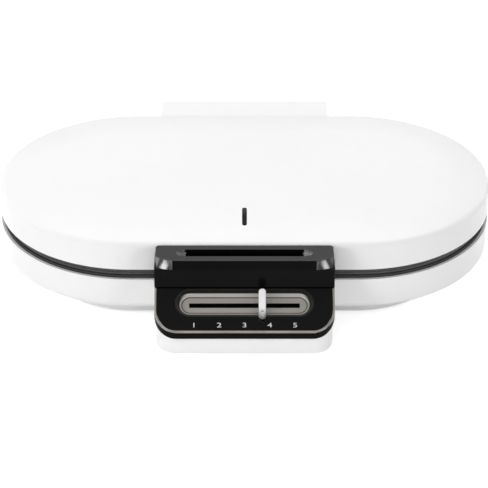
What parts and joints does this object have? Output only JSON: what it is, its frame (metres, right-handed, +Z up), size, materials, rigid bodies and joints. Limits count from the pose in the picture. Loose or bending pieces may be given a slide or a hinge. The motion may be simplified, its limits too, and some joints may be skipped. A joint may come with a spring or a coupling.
{
  "type": "double waffle maker",
  "caption": "Countertop double waffle maker with a long rounded white body, hinged lid, black front handle, sloping control panel with a browning slider, and heart-patterned cast plates.",
  "frame": {"origin": "on the table, under the middle of the whole's footprint", "axes": "+X to the right along the length, +Y from the control panel to the hinge, +Z up"},
  "size_m": [0.42, 0.3306, 0.0991],
  "materials": {
    "white_plastic": "smooth satin-gloss moulded white",
    "underside_plastic": "fine moulded grain",
    "rubber": "matte",
    "black_gloss": "glossy moulded black",
    "scale_grey": "satin warm grey",
    "lever_plastic": "slightly translucent white",
    "frame_plastic": "heat-proof matte black",
    "component_plastic": "matte",
    "terminal_plastic": "cream",
    "bright_steel": "zinc plated",
    "screw_steel": "zinc plated",
    "element_steel": "heat-tinted steel tube",
    "shield_steel": "aluminised sheet",
    "non_stick": "cast with dark non-stick coating",
    "circuit_board": "green solder mask",
    "smoked_lens": "smoked clear plastic",
    "lamp_glass": "clear glass lamp"
  },
  "bodies": {
    "base": {"base_shell": "white_plastic", "base_cover": "underside_plastic", "base_cover_screws": "screw_steel", "rubber_feet": "rubber", "control_panel": "black_gloss", "panel_screws": "screw_steel", "scale_dish": "scale_grey", "scale_plate": "scale_grey", "slide_resistor": "component_plastic", "hinge_bracket_left": "bright_steel", "hinge_bracket_right": "bright_steel", "hinge_bracket_screws": "screw_steel", "hinge_pin": "bright_steel", "control_board": "circuit_board", "power_relay": "component_plastic", "smoothing_capacitor": "component_plastic", "terminal_block": "terminal_plastic", "temperature_sensor": "bright_steel", "thermal_fuse": "component_plastic", "cord_gland": "rubber", "lower_frame": "frame_plastic", "lower_frame_screws": "screw_steel", "lower_waffle_plate": "non_stick", "lower_heating_element": "element_steel", "lower_heat_shield": "shield_steel", "lower_shield_screws": "screw_steel"},
    "lid": {"lid_shell": "white_plastic", "indicator_lens": "smoked_lens", "lamp_holder": "frame_plastic", "indicator_lamp": "lamp_glass", "lid_handle": "black_gloss", "handle_apron": "black_gloss", "handle_screws": "screw_steel", "hinge_cover": "white_plastic", "hinge_cover_screws": "screw_steel", "upper_frame": "frame_plastic", "upper_frame_screws": "screw_steel", "upper_waffle_plate": "non_stick", "upper_heating_element": "element_steel", "upper_heat_shield": "shield_steel", "upper_shield_screws": "screw_steel"},
    "slider": {"slider_lever": "lever_plastic", "slider_carriage": "frame_plastic"}
  },
  "joints": [
    {"name": "lid_hinge", "type": "hinge", "parent": "base", "child": "lid", "pos_m": [0, 0.14475, 0.06125], "axis": [-1, 0, 0], "range_deg": [0, 100]},
    {"name": "browning_slide", "type": "slide", "parent": "base", "child": "slider", "axis": [1, 0, 0], "range_m": [-0.0565, 0.0277]}
  ]
}
